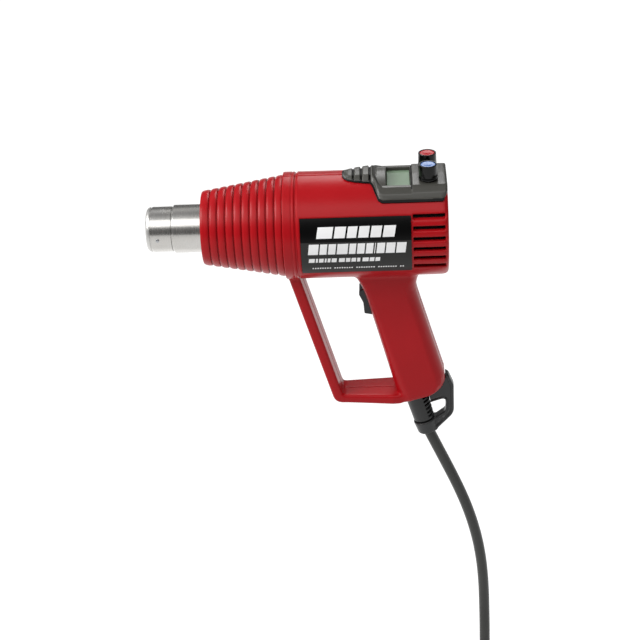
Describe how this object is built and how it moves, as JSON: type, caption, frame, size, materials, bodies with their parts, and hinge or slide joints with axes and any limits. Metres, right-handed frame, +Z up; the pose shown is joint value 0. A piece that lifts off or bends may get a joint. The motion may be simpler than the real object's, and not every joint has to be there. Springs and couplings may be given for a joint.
{
  "type": "heat gun",
  "caption": "Pistol-grip hot air gun with a steel outlet, ribbed nose cone, closed finger guard, rocker switch, sloped display panel with dials, hanging loop and supply cord.",
  "frame": {"origin": "middle of the hand grip, on the handle's middle line and in the parting plane of the housing halves", "axes": "-X out of the nozzle along the barrel's axis, -Y out of the flank with the name plate, +Z up with the barrel level"},
  "size_m": [0.2982, 0.0864, 0.7043],
  "materials": {
    "red_housing": "glossy moulded nylon, light texture",
    "screw_steel": "zinc plated",
    "polished_steel": "turned and lightly heat tinted",
    "plated_steel": "zinc plated",
    "mica": "matt",
    "ceramic": "matt",
    "resistance_wire": "oxidised",
    "black_nylon": "matt",
    "ferrite": "matt",
    "copper_steel": "wound and lacquered",
    "ivory_nylon": "satin",
    "filter_foam": "open foam",
    "grey_panel": "fine spark texture",
    "clear_lens": "polished, grey-green",
    "display_glass": "dark glass",
    "circuit_board": "solder mask",
    "gloss_black": "polished",
    "red_cap": "polished",
    "blue_cap": "polished",
    "label_film": "satin printed film",
    "satin_black": "satin",
    "wire_brown": "satin",
    "wire_pale": "satin",
    "wire_green": "satin",
    "relief_rubber": "matt",
    "loop_nylon": "satin",
    "cord_jacket": "matt",
    "tie_rubber": "matt",
    "plug_nylon": "satin",
    "contact_brass": "polished"
  },
  "bodies": {
    "housing": {"left_shell": "red_housing", "right_shell": "red_housing", "screw_body_front": "screw_steel", "screw_guard_corner": "screw_steel", "screw_body_top": "screw_steel", "screw_handle_top": "screw_steel", "screw_handle_bottom": "screw_steel", "nose_cone": "red_housing", "outlet_sleeve": "polished_steel", "sleeve_rivet": "plated_steel", "heater_barrel": "polished_steel", "barrel_flange": "plated_steel", "mica_tube": "mica", "ceramic_core": "ceramic", "heating_coil": "resistance_wire", "thermocouple": "plated_steel", "air_duct": "black_nylon", "motor_mount": "black_nylon", "motor_can": "plated_steel", "magnet_left": "ferrite", "magnet_right": "ferrite", "motor_end_cap": "black_nylon", "intake_filter_left": "filter_foam", "intake_filter_right": "filter_foam", "control_panel": "grey_panel", "display_lens": "clear_lens", "display_module": "display_glass", "control_board": "circuit_board", "temperature_control": "plated_steel", "airflow_control": "plated_steel", "name_plate": "label_film", "trigger_pin": "plated_steel", "switch_body": "satin_black", "cord_clamp": "black_nylon", "wire_line": "wire_brown", "wire_neutral": "wire_pale", "wire_earth": "wire_green", "strain_relief": "relief_rubber", "hanging_loop": "loop_nylon", "cord_lead": "cord_jacket", "cord_coil": "cord_jacket", "cord_tail": "cord_jacket", "coil_tie": "tie_rubber", "plug_body": "plug_nylon", "plug_blade_line": "contact_brass", "plug_blade_neutral": "contact_brass", "plug_earth_pin": "contact_brass"},
    "rotor": {"motor_shaft": "plated_steel", "armature": "copper_steel", "fan_impeller": "ivory_nylon"},
    "temperature_dial": {"temperature_knob": "gloss_black", "temperature_cap": "red_cap"},
    "airflow_dial": {"airflow_knob": "gloss_black", "airflow_cap": "blue_cap"},
    "rocker": {"rocker_trigger": "satin_black"}
  },
  "joints": [
    {"name": "rotor_spin", "type": "hinge", "parent": "housing", "child": "rotor", "pos_m": [-0.02566, 0, 0.10023], "axis": [1, 0, 0], "continuous": true},
    {"name": "temperature_turn", "type": "hinge", "parent": "housing", "child": "temperature_dial", "pos_m": [0.02084, 0.0118, 0.15023], "axis": [0, 0, 1], "range_deg": [-140, 140]},
    {"name": "airflow_turn", "type": "hinge", "parent": "housing", "child": "airflow_dial", "pos_m": [0.02084, -0.0118, 0.15023], "axis": [0, 0, 1], "range_deg": [-140, 140]},
    {"name": "rocker_tilt", "type": "hinge", "parent": "housing", "child": "rocker", "pos_m": [-0.02426, 0, 0.03383], "axis": [0, 1, 0], "range_deg": [-6, 6]}
  ]
}
